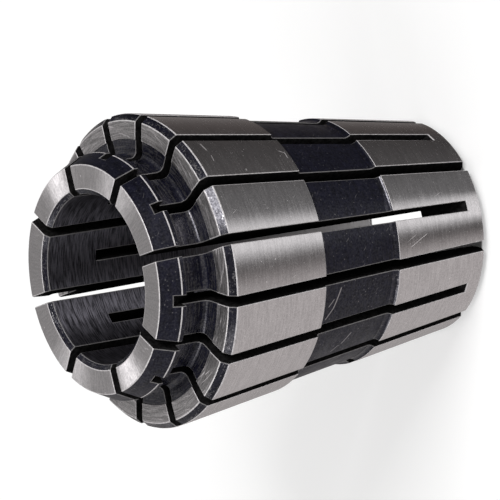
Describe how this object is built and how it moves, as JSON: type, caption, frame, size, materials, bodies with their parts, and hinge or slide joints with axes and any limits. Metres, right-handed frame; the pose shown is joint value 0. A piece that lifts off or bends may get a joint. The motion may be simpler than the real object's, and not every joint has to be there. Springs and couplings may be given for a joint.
{
  "type": "spring collet",
  "caption": "Round steel collet with an 8 degree tapered body, a grooved nose and alternating slots that let its bore close on a tool shank.",
  "frame": {"origin": "centre of the rear face, the small end on which the collet stands", "axes": "+Z along the axis from the rear face to the nose; +X through the middle of one of the slots that open at the nose"},
  "size_m": [0.026, 0.026, 0.034],
  "materials": {
    "steel": "ground lands, ring and nose face; black oxide elsewhere"
  },
  "bodies": {
    "root": {"spring_collet": "steel"}
  },
  "joints": []
}
